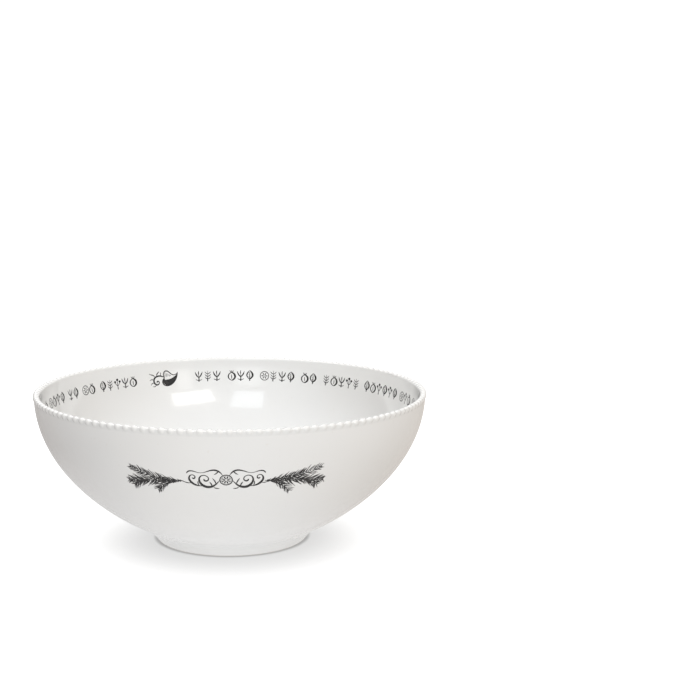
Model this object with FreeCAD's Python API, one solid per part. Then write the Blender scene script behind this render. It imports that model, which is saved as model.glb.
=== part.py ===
"""A glazed ceramic punch bowl that holds two gallons, in millimetres, with +Z up and its foot on Z = 0.

The bowl stands on its axis, which is Z, and its printed front faces -Y. It is built as a potter builds it:
a deep body, a turned foot ring luted under it, moulded lengths of pearl strip let into the lip, and
ceramic transfers that are slid onto the glaze and fired in, modelled as thin films with plain outlines.
"""

import FreeCAD
import Part

import math
import os

from FreeCAD import Vector

# Body
HEIGHT = 137.0  # to the top of the lip, between the pearls
LIP_RADIUS = 176.8  # outside of the wall at the lip, between the pearls
CURVE_OVERREACH = 88.7  # how far past the axis the centre of the wall's elliptical curve lies
WALL = 5.0  # at the lip
WALL_LOW = 5.5  # where the wall runs into the floor
LIP_ROUND_OUT = 1.2
LIP_ROUND_IN = 1.0
UNDERSIDE = 6.5  # height of the flat underside over the table
CURVE_UNDERRUN = 30.5  # how far below the underside that curve would bottom out
FLOOR = 5.5  # thickness of the floor
FLOOR_SWEEP = 60.0  # radius that carries the floor up into the wall
FILL_DROP = 6.0  # from the top of the lip down to the punch in a full bowl

# Foot ring
FOOT_CONTACT_OUT = 68.2  # outer edge of the face that stands on the table, before it is rounded
FOOT_CONTACT_WIDTH = 8.0
FOOT_LEAN_OUT = 8.4  # how much wider the foot is where it meets the wall
FOOT_LEAN_IN = 1.4
FOOT_ROUND = 1.4

# Pearl strip
PEARLS = 140
PEARL_RADIUS = 2.6
PEARL_OUT = 1.0  # how far a pearl stands out from the wall
PEARL_UP = 1.2  # how far it stands up over the top of the lip
STRIP_DEPTH = 3.9  # how far the strip is let into the wall
STRIP_EDGE = 0.8  # plain clay under the pearls
PEARL_CUT = 0.1  # what is left of the strip behind a pearl
STRIP_LENGTHS = 4  # that go end to end round the bowl, with as many pearls on each

# Transfers
FILM = 0.3
FRONT_DROP = 43.5  # from the top of the lip down to the stalks of the two sprigs
SPRIG_START = 34.0  # from the middle of the front out to a sprig's stalk
SPRIG_REACH = 47.0  # from its stalk to its farthest tip
SPRIG_TWIGS = [(0.93, 0.23), (1.0, -0.15), (0.45, -0.27)]  # tips, out and up from the stalk, in reaches
TWIG_WIDTH = 13.0
SCROLL_LENGTH = 66.0
SCROLL_HEIGHT = 21.0
SCROLL_RISE = 3.0  # of the scroll's middle over the stalks
BAND_DROP = 18.0  # from the top of the lip down to the inner band's middle line
BAND_HEIGHT = 13.0
BAND_STRIPS = 4
BAND_GAP = 0.6  # degrees between two strips
ORNAMENT_BEARING = 204.5  # degrees round from the front, by the right-hand rule about +Z
ORNAMENT_LENGTH = 38.0
ORNAMENT_HEIGHT = 17.0
ORNAMENT_CLEAR = 4.0  # degrees of bare glaze on each side of the ornament

FRONT_LEVEL = HEIGHT - FRONT_DROP
BAND_LEVEL = HEIGHT - BAND_DROP
TURN = 360.0
FRONT = -90.0  # where -Y lies in degrees from +X, by the right-hand rule about +Z
AXIS = Vector(0, 0, 1)
ORIGIN = Vector(0, 0, 0)
REACH = 2 * LIP_RADIUS  # longer than any cut has to be


def point(radius, height):
    """A point of the half section, which is drawn in the plane Y = 0."""
    return Vector(radius, 0, height)


def line(start, end):
    return Part.LineSegment(start, end).toShape()


def turned(edges, degrees=TURN):
    """The solid that a closed outline makes when it turns about the bowl's axis."""
    face = Part.Face(Part.Wire(edges))
    return face.revolve(ORIGIN, AXIS, degrees)


class WallCurve:
    """A quarter of an ellipse, upright at the lip. depth is how far inside the outer face it runs:
    depth at the lip and low_depth where the wall is nearly flat, so the wall thickens on its way down."""

    def __init__(self, depth, low_depth):
        self.across = LIP_RADIUS + CURVE_OVERREACH - depth
        self.down = HEIGHT - UNDERSIDE + CURVE_UNDERRUN - low_depth
        centre = point(-CURVE_OVERREACH, HEIGHT)
        self.ellipse = Part.Ellipse(
            centre + Vector(self.across, 0, 0), centre - Vector(0, 0, self.down), centre
        )

    def angle(self, height):
        return math.asin((HEIGHT - height) / self.down)

    def radius(self, height):
        return self.across * math.cos(self.angle(height)) - CURVE_OVERREACH

    def height(self, radius):
        share = (radius + CURVE_OVERREACH) / self.across
        return HEIGHT - self.down * math.sqrt(1 - share**2)

    def arc(self, low, high):
        return Part.ArcOfEllipse(self.ellipse, self.angle(high), self.angle(low)).toShape()

    def at(self, height):
        return point(self.radius(height), height)


outside = WallCurve(0, 0)
inside = WallCurve(WALL, WALL_LOW)


def layer(face, other_face, low, high, degrees=TURN):
    """What lies between two curves of the wall, from one height to another."""
    return turned(
        [
            face.arc(low, high),
            line(face.at(high), other_face.at(high)),
            other_face.arc(low, high),
            line(other_face.at(low), face.at(low)),
        ],
        degrees,
    )


def ring_edges(solid, height, radius):
    """The circular edges of a turned solid at one height and radius."""
    found = []
    for edge in solid.Edges:
        circle = edge.Curve
        if isinstance(circle, Part.Circle) and abs(circle.Radius - radius) < 0.01:
            if abs(circle.Center.z - height) < 0.01:
                found.append(edge)
    return found


def blank():
    """The body's outer form, before it is hollowed: the wall's curve over a flat underside."""
    top = point(0, HEIGHT)
    return turned(
        [
            line(top, point(0, UNDERSIDE)),
            line(point(0, UNDERSIDE), outside.at(UNDERSIDE)),
            outside.arc(UNDERSIDE, HEIGHT),
            line(outside.at(HEIGHT), top),
        ]
    )


def hollow():
    """What the bowl holds, and the air above it."""
    floor = UNDERSIDE + FLOOR
    mouth = LIP_RADIUS - WALL
    solid = turned(
        [
            line(point(0, REACH), point(0, floor)),
            line(point(0, floor), inside.at(floor)),
            inside.arc(floor, HEIGHT),
            line(point(mouth, HEIGHT), point(mouth, REACH)),
            line(point(mouth, REACH), point(0, REACH)),
        ]
    )
    return solid.makeFillet(FLOOR_SWEEP, ring_edges(solid, floor, inside.radius(floor)))


def bowl_body(form):
    body = form.cut(hollow()).cut(strip_seat())
    return body.makeFillet(LIP_ROUND_IN, ring_edges(body, HEIGHT, LIP_RADIUS - WALL))


def foot_ring(form):
    """A leaning ring, trimmed to the underside that it is luted to."""
    inner = FOOT_CONTACT_OUT - FOOT_CONTACT_WIDTH
    seat_out = FOOT_CONTACT_OUT + FOOT_LEAN_OUT
    top = max(outside.height(seat_out), UNDERSIDE)
    corners = [
        point(inner, 0),
        point(FOOT_CONTACT_OUT, 0),
        point(seat_out, top),
        point(inner - FOOT_LEAN_IN, top),
    ]
    edges = [line(a, b) for a, b in zip(corners, corners[1:] + corners[:1])]
    ring = turned(edges).cut(form)
    rounded = ring_edges(ring, 0, inner) + ring_edges(ring, 0, FOOT_CONTACT_OUT)
    return ring.makeFillet(FOOT_ROUND, rounded)


def pearl_centre():
    """The middle of a pearl, on the +X side. It lies in the outer corner of the lip."""
    return point(LIP_RADIUS + PEARL_OUT - PEARL_RADIUS, HEIGHT + PEARL_UP - PEARL_RADIUS)


def strip_seat(degrees=TURN):
    """The corner that the strip takes out of the lip."""
    low = pearl_centre().z - PEARL_RADIUS - STRIP_EDGE
    return layer(outside, WallCurve(STRIP_DEPTH, STRIP_DEPTH), low, HEIGHT, degrees)


def plain_strip(degrees):
    """The strip without its pearls, flush with the wall and with the top of the lip."""
    seat = strip_seat(degrees)
    return seat.makeFillet(LIP_ROUND_OUT, ring_edges(seat, HEIGHT, LIP_RADIUS))


def pearl():
    """One pearl: a ball, cut off flat inside the strip."""
    ball = Part.makeSphere(PEARL_RADIUS, pearl_centre(), Vector(0, 1, 0))
    inside_strip = LIP_RADIUS - STRIP_DEPTH + PEARL_CUT
    keep = Part.makeBox(REACH, REACH, REACH, Vector(inside_strip, -REACH / 2, 0))
    return ball.common(keep)


def pearl_strips():
    """All the lengths of strip, each a copy of one that is joined with its pearls."""
    pitch = TURN / PEARLS
    span = TURN / STRIP_LENGTHS
    first = pearl()
    pearls = [placed(first, pitch * (index + 0.5)) for index in range(PEARLS // STRIP_LENGTHS)]
    length = plain_strip(span).multiFuse(pearls)
    return [placed(length, span * index) for index in range(STRIP_LENGTHS)]


def placed(solid, degrees):
    """A copy, turned about the bowl's axis by the right-hand rule."""
    copy = solid.copy()
    copy.rotate(ORIGIN, AXIS, degrees)
    return copy


def outer_film(low, high):
    return layer(outside, WallCurve(-FILM, -FILM), low, high)


def inner_film(low, high, degrees=TURN):
    return layer(inside, WallCurve(WALL + FILM, WALL_LOW + FILM), low, high, degrees)


def leaf_cutter(stalk, tip, width):
    """A pointed oval, drawn in front view from a stalk to a tip as (x, z), and pushed back into the bowl."""
    run = Vector(tip[0] - stalk[0], 0, tip[1] - stalk[1])
    side = Vector(-run.z, 0, run.x).normalize() * (width / 2)
    start = Vector(stalk[0], -REACH, stalk[1])
    end = start + run
    middle = start + run * 0.5
    upper = Part.Arc(start, middle + side, end).toShape()
    lower = Part.Arc(end, middle - side, start).toShape()
    return Part.Face(Part.Wire([upper, lower])).extrude(Vector(0, REACH, 0))


def sprig(side):
    """Three twigs from one stalk. side is -1 for the sprig to the left of the scroll, and 1 for the right."""
    stalk = (side * SPRIG_START, FRONT_LEVEL)
    cutter = None
    for out, up in SPRIG_TWIGS:
        tip = (stalk[0] + side * SPRIG_REACH * out, FRONT_LEVEL + SPRIG_REACH * up)
        twig = leaf_cutter(stalk, tip, TWIG_WIDTH)
        cutter = twig if cutter is None else cutter.fuse(twig)
    return outer_film(FRONT_LEVEL - SPRIG_REACH / 2, FRONT_LEVEL + SPRIG_REACH / 2).common(cutter)


def scroll():
    middle = FRONT_LEVEL + SCROLL_RISE
    cutter = leaf_cutter((-SCROLL_LENGTH / 2, middle), (SCROLL_LENGTH / 2, middle), SCROLL_HEIGHT)
    return outer_film(middle - SCROLL_HEIGHT, middle + SCROLL_HEIGHT).common(cutter)


def leaf_ornament():
    """An oval film, cut out at the front of the inner wall and then turned to its bearing."""
    cutter = Part.makeCylinder(1, REACH, ORIGIN, Vector(0, -1, 0))
    stretch = FreeCAD.Matrix()
    stretch.scale(Vector(ORNAMENT_LENGTH / 2, 1, ORNAMENT_HEIGHT / 2))
    cutter = cutter.transformGeometry(stretch)
    cutter.translate(Vector(0, 0, BAND_LEVEL))
    low, high = BAND_LEVEL - ORNAMENT_HEIGHT, BAND_LEVEL + ORNAMENT_HEIGHT
    oval = inner_film(low, min(high, HEIGHT - LIP_ROUND_IN)).common(cutter)
    return placed(oval, ORNAMENT_BEARING)


def band_strips():
    """The strips of the inner band, end to end round the wall from one side of the ornament to the other."""
    ornament_half = math.degrees(ORNAMENT_LENGTH / 2 / inside.radius(BAND_LEVEL))
    bare = 2 * (ornament_half + ORNAMENT_CLEAR)
    span = (TURN - bare - BAND_GAP * (BAND_STRIPS - 1)) / BAND_STRIPS
    low, high = BAND_LEVEL - BAND_HEIGHT / 2, BAND_LEVEL + BAND_HEIGHT / 2
    first = FRONT + ORNAMENT_BEARING + bare / 2
    strip = inner_film(low, high, span)
    return [placed(strip, first + index * (span + BAND_GAP)) for index in range(BAND_STRIPS)]


def export(name, solids):
    shape = solids[0] if len(solids) == 1 else Part.makeCompound(solids)
    shape.exportStep(os.path.join("parts", name + ".step"))
    volume = sum(solid.Volume for solid in shape.Solids)
    print(f"{name}: {len(shape.Solids)} solids, {volume / 1000:.2f} cm3, valid {shape.isValid()}")


def capacity(below_lip=0.0):
    """Litres held when the bowl is filled to below_lip under its lip."""
    box = Part.makeBox(REACH, REACH, HEIGHT - below_lip, Vector(-REACH / 2, -REACH / 2, 0))
    return hollow().common(box).Volume / 1e6


def main():
    os.makedirs("parts", exist_ok=True)
    form = blank()
    export("bowl_body", [bowl_body(form)])
    export("foot_ring", [foot_ring(form)])
    export("pearl_strip", pearl_strips())
    export("left_sprig_transfer", [sprig(-1)])
    export("centre_scroll_transfer", [scroll()])
    export("right_sprig_transfer", [sprig(1)])
    export("leaf_ornament_transfer", [leaf_ornament()])
    for number, strip in enumerate(band_strips(), 1):
        export(f"band_transfer_{number}", [strip])
    overall = 2 * (LIP_RADIUS + PEARL_OUT)
    print(f"{overall:.1f} mm across the pearls, {HEIGHT + PEARL_UP:.1f} mm high")
    print(f"holds {capacity():.2f} litres to the lip, {capacity(FILL_DROP):.2f} when it is full")


main()
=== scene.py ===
# %% [markdown]
# # A glazed punch bowl
# The bowl is white earthenware that holds two gallons: one deep body on a turned foot ring, with a row of
# pearls on its lip. Dark ceramic transfers are fired into the glaze, on the front and in a band inside the
# lip. Its sizes come from a packed construction model, which is loaded first as a fixed frame. Every piece
# below is put where that frame says, in metres, with +Z up and the printed front towards -Y.

import math
import random

import bpy
from mathutils import Matrix, Vector


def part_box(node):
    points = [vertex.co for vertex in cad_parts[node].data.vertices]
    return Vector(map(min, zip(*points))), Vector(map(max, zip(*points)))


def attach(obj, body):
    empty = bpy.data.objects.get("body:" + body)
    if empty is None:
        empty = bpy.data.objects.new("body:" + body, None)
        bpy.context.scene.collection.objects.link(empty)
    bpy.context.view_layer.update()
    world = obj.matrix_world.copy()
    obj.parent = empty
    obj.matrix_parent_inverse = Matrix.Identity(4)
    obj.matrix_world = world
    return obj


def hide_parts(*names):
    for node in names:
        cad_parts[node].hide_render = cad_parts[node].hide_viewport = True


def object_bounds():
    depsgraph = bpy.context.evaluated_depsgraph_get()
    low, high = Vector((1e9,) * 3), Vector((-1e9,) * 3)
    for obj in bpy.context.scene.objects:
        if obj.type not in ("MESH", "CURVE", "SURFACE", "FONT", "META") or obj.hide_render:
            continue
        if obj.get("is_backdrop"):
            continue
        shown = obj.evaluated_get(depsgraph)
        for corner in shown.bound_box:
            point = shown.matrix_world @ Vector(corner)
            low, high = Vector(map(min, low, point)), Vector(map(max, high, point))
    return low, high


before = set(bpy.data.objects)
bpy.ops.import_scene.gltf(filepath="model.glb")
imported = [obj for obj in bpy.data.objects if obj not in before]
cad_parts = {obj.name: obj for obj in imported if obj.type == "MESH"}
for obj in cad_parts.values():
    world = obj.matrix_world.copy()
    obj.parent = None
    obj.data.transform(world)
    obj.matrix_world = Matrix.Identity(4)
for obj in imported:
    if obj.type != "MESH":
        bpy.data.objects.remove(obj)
cad_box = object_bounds()
print("construction nodes:", ", ".join(sorted(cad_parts)))

# %% [markdown]
# ## Sizes
# A maker sizes a bowl by its lip, its height and its foot, and the frame gives all three. The section of
# the wall can't be read from a box, so it is drawn here again as what it is: a quarter of an ellipse that
# stands upright at the lip. The inner face is the same curve, one wall nearer to the axis.

# %% Overall sizes
MM = 0.001  # sizes are written in millimetres, and the scene is in metres
body_low, body_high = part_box("bowl_body")
foot_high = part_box("foot_ring")[1]
pearl_low, pearl_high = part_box("pearl_strip")
LIP = body_high[2]
UNDERSIDE = body_low[2]
LIP_RADIUS = 176.8 * MM  # outside of the wall, between the pearls
print(f"lip {LIP / MM:.1f} mm high, {2 * pearl_high[0] / MM:.1f} mm across the pearls")

# %% The wall's section
OVERREACH = 88.7 * MM  # how far past the axis the curve's centre lies
UNDERRUN = 30.5 * MM  # how far below the underside the curve would bottom out
WALL = 5.0 * MM  # its thickness at the lip
WALL_LOW = 5.5 * MM  # its thickness where the curve would bottom out
LIP_ROUND_OUT = 1.2 * MM
LIP_ROUND_IN = 2.0 * MM  # the glaze rounds the inner edge more than the bare clay is rounded


class WallFace:
    """One face of the wall. side is 1 for the outer face and -1 for the inner one, because it gives the way
    that the normal points, away from the axis or towards it."""

    def __init__(self, depth, low_depth, lip_round, side):
        self.across = LIP_RADIUS + OVERREACH - depth
        self.down = LIP - UNDERSIDE + UNDERRUN - low_depth
        self.lip_round = lip_round
        self.side = side

    def angle(self, height):
        return math.asin((LIP - height) / self.down)

    def at_angle(self, angle):
        """Radius, height and unit normal at an angle round the ellipse, where 0 is the lip."""
        radius = self.across * math.cos(angle) - OVERREACH
        height = LIP - self.down * math.sin(angle)
        normal = Vector((math.cos(angle) / self.across, -math.sin(angle) / self.down))
        return radius, height, normal.normalized() * self.side

    def at_height(self, height):
        """The same, by height. Over the last of the way up, the face is the lip's own rounding."""
        shoulder = LIP - self.lip_round
        if height <= shoulder:
            return self.at_angle(self.angle(height))
        edge = self.at_angle(self.angle(shoulder))[0]
        turn = math.asin(min((height - shoulder) / self.lip_round, 1))
        inset = self.lip_round * (1 - math.cos(turn))
        return edge - self.side * inset, height, Vector((self.side * math.cos(turn), math.sin(turn)))


outer_face = WallFace(0, 0, LIP_ROUND_OUT, 1)
inner_face = WallFace(WALL, WALL_LOW, LIP_ROUND_IN, -1)
print(f"outer radius at half height {outer_face.at_height(LIP / 2)[0] / MM:.1f} mm")

# %% [markdown]
# ## The camera
# The bowl is seen from a little above its lip and from some way off, so that the far wall shows over the
# near lip and the lip is a slim ellipse. A long lens from 1.35 m away keeps that ellipse calm. The camera
# is turned by angles rather than by a tracking constraint, so that it stays put when the bowl is looked at
# from elsewhere.

# %% Camera
CAMERA_PLACE = (0.0443, -1.3009, 0.3853)
CAMERA_SENSOR = 36.0  # millimetres, as the lens is
CAMERA_LENS = 74.35
CAMERA_TURN = -2.8  # degrees, to the right of straight ahead
CAMERA_DIP = 9.246  # degrees below the horizon
CAMERA_ROLL = 0.444  # degrees round the line of sight

bpy.ops.object.camera_add(location=CAMERA_PLACE)
camera = bpy.context.object
camera.name = "camera"
camera.data.lens = CAMERA_LENS
camera.data.sensor_width = CAMERA_SENSOR
turn = Matrix.Rotation(math.radians(CAMERA_TURN), 4, "Z")
dip = Matrix.Rotation(math.radians(90 - CAMERA_DIP), 4, "X")
roll = Matrix.Rotation(math.radians(CAMERA_ROLL), 4, "Z")
camera.matrix_world = Matrix.Translation(CAMERA_PLACE) @ turn @ dip @ roll
bpy.context.scene.camera = camera
print(f"the camera is {camera.location.length:.2f} m from the foot")

# %% [markdown]
# ## Working by hand, in code
# Every piece below starts from a primitive or a curve and is shaped with the tools of edit mode. An
# operator acts on whatever is selected, so each piece starts by deselecting everything. These helpers do
# that, select what is meant, and join what belongs together.


# %% Select, join and count
def start_clean():
    """Leaves edit mode and deselects everything."""
    if bpy.context.mode != "OBJECT":
        bpy.ops.object.mode_set(mode="OBJECT")
    bpy.ops.object.select_all(action="DESELECT")


def pick(*objects):
    """Selects these objects, and makes the first one active."""
    start_clean()
    for thing in objects:
        thing.select_set(True)
    bpy.context.view_layer.objects.active = objects[0]


def joined(name, objects):
    """Makes one piece of these objects."""
    pick(*objects)
    if len(objects) > 1:
        bpy.ops.object.join()
    piece = bpy.context.object
    piece.name = name
    piece.data.name = name
    return piece


def count(piece):
    """Prints what a piece is made of, and hands it on."""
    print(f"{piece.name}: {len(piece.data.vertices)} vertices, {len(piece.data.polygons)} faces")
    return piece


# %% [markdown]
# ## Shader maths
# A finish is a small sum: so much of one colour where a mask is high, and so much of another where it is
# low. Blender adds one node for each step of that sum, which reads badly in code. This class wraps a socket
# and gives it Python's operators, so that a mask can be written as a formula. A Math node would turn a
# colour grey, so colours are mixed by a method of their own.


# %% A socket that can be reckoned with
class Value:
    def __init__(self, finish, socket):
        self.finish = finish
        self.socket = socket

    def maths(self, operation, first, second=None):
        values = {0: first} if second is None else {0: first, 1: second}
        return self.finish.node("ShaderNodeMath", {"operation": operation}, values)

    def __add__(self, other):
        return self.maths("ADD", self, other)

    def __sub__(self, other):
        return self.maths("SUBTRACT", self, other)

    def __rsub__(self, other):
        return self.maths("SUBTRACT", other, self)

    def __mul__(self, other):
        return self.maths("MULTIPLY", self, other)

    def __abs__(self):
        return self.maths("ABSOLUTE", self)

    __radd__ = __add__
    __rmul__ = __mul__

    def between(self, low, high):
        """0 where the value is low and 1 where it is high, and soft in between. low may be the larger."""
        values = {"Value": self, "From Min": min(low, high), "From Max": max(low, high)}
        soft = self.finish.node("ShaderNodeMapRange", {"interpolation_type": "SMOOTHSTEP"}, values)
        return 1 - soft if low > high else soft


class Finish:
    """A material with one Principled shader, and the nodes that feed it."""

    def __init__(self, name):
        self.material = bpy.data.materials.new(name)
        self.material.use_nodes = True
        self.tree = self.material.node_tree
        self.shader = self.tree.nodes["Principled BSDF"]

    def node(self, kind, settings=None, values=None, output=0):
        """Adds a node, sets it up, fills or links its inputs, and returns one of its outputs."""
        made = self.tree.nodes.new(kind)
        for name, setting in (settings or {}).items():
            setattr(made, name, setting)
        for name, value in (values or {}).items():
            self.fill(made.inputs[name], value)
        return Value(self, made.outputs[output])

    def fill(self, socket, value):
        if isinstance(value, Value):
            self.tree.links.new(value.socket, socket)
        else:
            socket.default_value = value

    def blend(self, mask, low, high):
        """One colour where the mask is 0 and the other where it is 1."""
        values = {"Factor": mask, 6: low, 7: high}  # 6 and 7 are the Mix node's two colour sockets
        return self.node("ShaderNodeMix", {"data_type": "RGBA"}, values, output=2)

    def place(self):
        return self.node("ShaderNodeTexCoord", output=3)  # the Object coordinates

    def part(self, place, axis):
        """One coordinate of a place or a direction: 0 is X, 1 is Y and 2 is Z."""
        return self.node("ShaderNodeSeparateXYZ", None, {0: place}, output=axis)

    def length(self, vector):
        return self.node("ShaderNodeVectorMath", {"operation": "LENGTH"}, {0: vector}, output=1)

    def noise(self, place, scale, detail=2.0):
        """Soft noise round 0.5. Its scale is how many times it changes over a metre."""
        return self.node("ShaderNodeTexNoise", None, {"Vector": place, "Scale": scale, "Detail": detail})

    def bump(self, height, strength, distance):
        values = {"Height": height, "Strength": strength, "Distance": distance}
        self.fill(self.shader.inputs["Normal"], self.node("ShaderNodeBump", None, values))

    def set(self, values):
        for name, value in values.items():
            self.fill(self.shader.inputs[name], value)


# %% [markdown]
# ## The white glaze
# The glaze is a clear, glossy glass over a white body, a fraction of a millimetre thick. Three things keep
# it from looking like plastic. Its thickness drifts, so its white is now a little warmer and now a little
# cooler. It runs thin over the lip and the tops of the pearls, and pools in the creases beside them and
# above the foot. And its surface isn't optically flat: it has the faint, wide ripple that potters call
# orange peel. The shader is a satin white base under a sharp clear coat, and each of these is a mask on the
# object's own coordinates. The foot's bottom edge is wiped bare before firing, and shows the matt, buff
# clay.

# %% Where the glaze is thick, thin or missing
CREASE_START = LIP_RADIUS - 0.25 * MM  # inside this radius a crease is full, and it ends a little outside it
CREASE_REACH = 0.55 * MM
WALL_ZONE = (0.97 * LIP_RADIUS, 0.99 * LIP_RADIUS)  # the inner wall is at its start, the outer one past it
FOOT_POOL = (3.5 * MM, 0.5 * MM)  # distances from the foot's seat where a pool ends and is full
POOLED_IN_CREASES = 0.55  # these three are the strengths of the masks, up to 1
POOLED_AT_FOOT = 0.30
THINNED = 0.7
THIN_REACH = 1.4 * MM  # down from the lip
WIPED = (0.75 * MM, 0.55 * MM)  # heights where the wiping starts and is complete
WIPED_WAVER = 0.35 * MM


def pools(glaze, place, height, drift):
    """A mask: the creases beside the pearls, and the joint above the foot."""
    flat = glaze.node("ShaderNodeVectorMath", {"operation": "MULTIPLY"}, {0: place, 1: (1, 1, 0)})
    radius = glaze.length(flat)
    row_low, row_high = pearl_low[2], pearl_high[2]
    on_row = height.between(row_low - MM, row_low + MM) * height.between(row_high + MM, row_high)
    in_crease = (radius - CREASE_START).between(CREASE_REACH, 0.0) * radius.between(*WALL_ZONE)
    at_foot = abs(height - foot_high[2]).between(*FOOT_POOL)
    return (on_row * in_crease * POOLED_IN_CREASES + at_foot * POOLED_AT_FOOT) * (0.7 + 0.3 * drift)


def thinning(glaze, place, height):
    """A mask: the lip and the tops of the pearls, unevenly."""
    uneven = 0.6 + 0.4 * glaze.noise(place, 60.0).between(0.3, 0.7)
    return height.between(LIP - THIN_REACH, LIP) * uneven * THINNED


def bare_edge(glaze, place, height):
    """A mask: the foot's bottom edge. It was wiped by hand, so its border wavers."""
    return (height + WIPED_WAVER * glaze.noise(place, 300.0)).between(*WIPED)


# %% Glaze
GLAZE_WARM = (0.872, 0.866, 0.850, 1)
GLAZE_COOL = (0.850, 0.853, 0.848, 1)
GLAZE_POOLED = (0.760, 0.772, 0.768, 1)
GLAZE_THIN = (0.895, 0.885, 0.862, 1)
BARE_CLAY = (0.700, 0.640, 0.550, 1)
DRIFTS = 7.0  # these four are scales of noise, per metre
RIPPLES = 55.0
SPECKS = 420.0
SAND = 1500.0
SPECK_STRENGTH = 0.12
SATIN, SATIN_SMEAR = 0.16, 0.05  # the roughness of the base under the coat, and how far it varies
CLAY_ROUGHNESS = 0.6
COAT_ROUGHNESS = 0.035
RIPPLE_STRENGTH = 0.22
RIPPLE_DEPTH = 0.25 * MM


def make_glaze():
    glaze = Finish("white_glaze")
    place = glaze.place()
    height = glaze.part(place, 2)
    drift = glaze.noise(place, DRIFTS, 3.0).between(0.3, 0.7)
    speck = glaze.noise(place, SPECKS, 0.0).between(0.80, 0.84)
    bare = bare_edge(glaze, place, height)
    colour = glaze.blend(drift, GLAZE_WARM, GLAZE_COOL)
    colour = glaze.blend(pools(glaze, place, height, drift), colour, GLAZE_POOLED)
    colour = glaze.blend(thinning(glaze, place, height), colour, GLAZE_THIN)
    colour = glaze.blend(speck * SPECK_STRENGTH, colour, BARE_CLAY)
    colour = glaze.blend(bare, colour, BARE_CLAY)
    satin = SATIN + SATIN_SMEAR * glaze.noise(place, 18.0, 2.0).between(0.35, 0.65)
    glaze.set({"Base Color": colour, "Roughness": bare * CLAY_ROUGHNESS + satin * (1 - bare)})
    glaze.set({"Coat Weight": 1 - bare, "Coat Roughness": COAT_ROUGHNESS})
    ripple = glaze.noise(place, RIPPLES, 1.0) + 0.12 * glaze.noise(place, SPECKS, 2.0)
    glaze.bump(ripple + bare * 0.3 * glaze.noise(place, SAND), RIPPLE_STRENGTH, RIPPLE_DEPTH)
    return glaze.material


white_glaze = make_glaze()
print("finish:", white_glaze.name, "with", len(white_glaze.node_tree.nodes), "nodes")

# %% [markdown]
# ## The transfer ink
# A ceramic transfer is a print in mineral colour, and firing melts it into the top of the glaze. So the ink
# shares some of the glaze's gloss, its black is never quite even, and it burns a little brown where it is
# thin.

# %% Ink
INK_DEEP = (0.012, 0.012, 0.014, 1)
INK_THIN = (0.040, 0.035, 0.032, 1)
INK_PATCHES = 130.0  # scales of noise, per metre
INK_GRAINS = 2200.0
INK_IOR = 1.38  # the pigment is dense, so it mirrors less than the bare glaze
INK_COAT = 0.2
INK_COAT_ROUGHNESS = 0.08
GRAIN_STRENGTH = 0.15
GRAIN_DEPTH = 0.02 * MM


def make_ink():
    ink = Finish("transfer_ink")
    place = ink.place()
    patch = ink.noise(place, INK_PATCHES, 3.0).between(0.42, 0.72)
    grain = ink.noise(place, INK_GRAINS, 1.0).between(0.40, 0.75)
    worn = patch * 0.55 + grain * 0.35
    ink.set({"Base Color": ink.blend(worn, INK_DEEP, INK_THIN), "Roughness": 0.22 + 0.14 * patch})
    ink.set({"IOR": INK_IOR, "Coat Weight": INK_COAT, "Coat Roughness": INK_COAT_ROUGHNESS})
    ink.bump(grain, GRAIN_STRENGTH, GRAIN_DEPTH)
    return ink.material


transfer_ink = make_ink()
print("finish:", transfer_ink.name)

# %% [markdown]
# ## Throwing a form
# The body and the foot are forms of revolution, so they could come from a Screw modifier, from a lofted
# stack of circles, or from a spun outline. Spinning is closest to the potter's wheel: the outline is drawn
# point by point, by extruding one vertex, and edit mode's Spin turns it round the axis. The first and last
# columns meet, and the points on the axis fall together, so doubles are merged before the normals are made
# to face outwards.

# %% A wheel
WHEEL_STEPS = 240
WELD = 0.01 * MM  # points nearer than this become one
CREASE = 40  # degrees: an edge that is sharper stays sharp


def throw(name, outline, steps=WHEEL_STEPS, angle=math.tau):
    """Turns an outline of radii and heights round the Z axis. A smaller angle gives a wedge."""
    start_clean()
    bpy.ops.mesh.primitive_plane_add(size=MM, location=(0, 0, 0))
    piece = bpy.context.object
    piece.name = name
    piece.data.name = name
    bpy.ops.object.mode_set(mode="EDIT")
    bpy.ops.mesh.merge(type="CENTER")
    place = (0, 0)
    for number, (radius, height) in enumerate(outline):
        step = (radius - place[0], 0, height - place[1])
        if number == 0:
            bpy.ops.transform.translate(value=step)
        else:
            bpy.ops.mesh.extrude_region_move(TRANSFORM_OT_translate={"value": step})
        place = (radius, height)
    bpy.ops.mesh.select_all(action="SELECT")
    bpy.ops.mesh.spin(steps=steps, angle=angle, center=(0, 0, 0), axis=(0, 0, 1))
    bpy.ops.mesh.select_all(action="SELECT")
    bpy.ops.mesh.remove_doubles(threshold=WELD)
    bpy.ops.mesh.normals_make_consistent(inside=False)
    bpy.ops.object.mode_set(mode="OBJECT")
    bpy.ops.object.shade_smooth_by_angle(angle=math.radians(CREASE))
    return count(piece)


def spread(start, end, steps):
    """Evenly spaced numbers from start to end, both included."""
    return [start + (end - start) * step / steps for step in range(steps + 1)]


# %% What every clay piece gets
def glazed(piece, node):
    """Glazes a clay piece. It stands for its construction node, and rides on the bowl's one body."""
    piece.data.materials.append(white_glaze)
    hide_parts(node)
    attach(piece, "root")


# %% [markdown]
# ## The body
# Its section runs out along the flat floor, sweeps up into the wall on a wide radius, climbs the inner
# face, rolls over the lip and comes down the outer face to the underside. The sweep has to touch the floor
# and the inner face both. Its centre lies one sweep radius above the floor, so the touching point is the
# one place on the inner face whose normal, drawn that long, ends at that height. Halving the range a few
# times finds it.

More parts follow.
